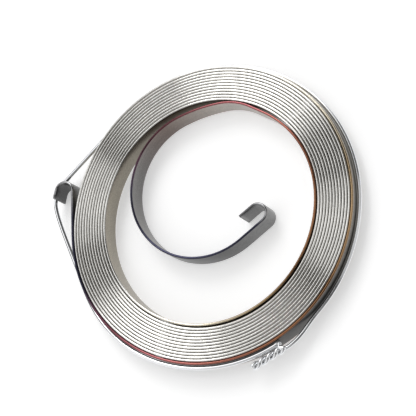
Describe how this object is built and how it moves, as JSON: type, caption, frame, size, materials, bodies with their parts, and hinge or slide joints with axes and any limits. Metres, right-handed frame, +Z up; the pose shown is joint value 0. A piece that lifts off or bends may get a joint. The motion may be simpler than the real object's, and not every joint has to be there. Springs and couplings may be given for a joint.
{
  "type": "recoil starter spring",
  "caption": "Flat spiral spring of steel strip with a bent hook at each end, held wound by a twisted binding wire.",
  "frame": {"origin": "the coil's axis, at the level of the lower edges that it lies on", "axes": "+Z up along the coil's axis, across the strip's width; +Y along the straight outer leg towards its hook; +X away from the outer hook"},
  "size_m": [0.0701, 0.0664, 0.005],
  "materials": {
    "spring_steel": "oiled, heat-tinted edges",
    "tie_wire": "bright drawn"
  },
  "bodies": {
    "root": {"spring_strip": "spring_steel", "binding_wire": "tie_wire"}
  },
  "joints": []
}
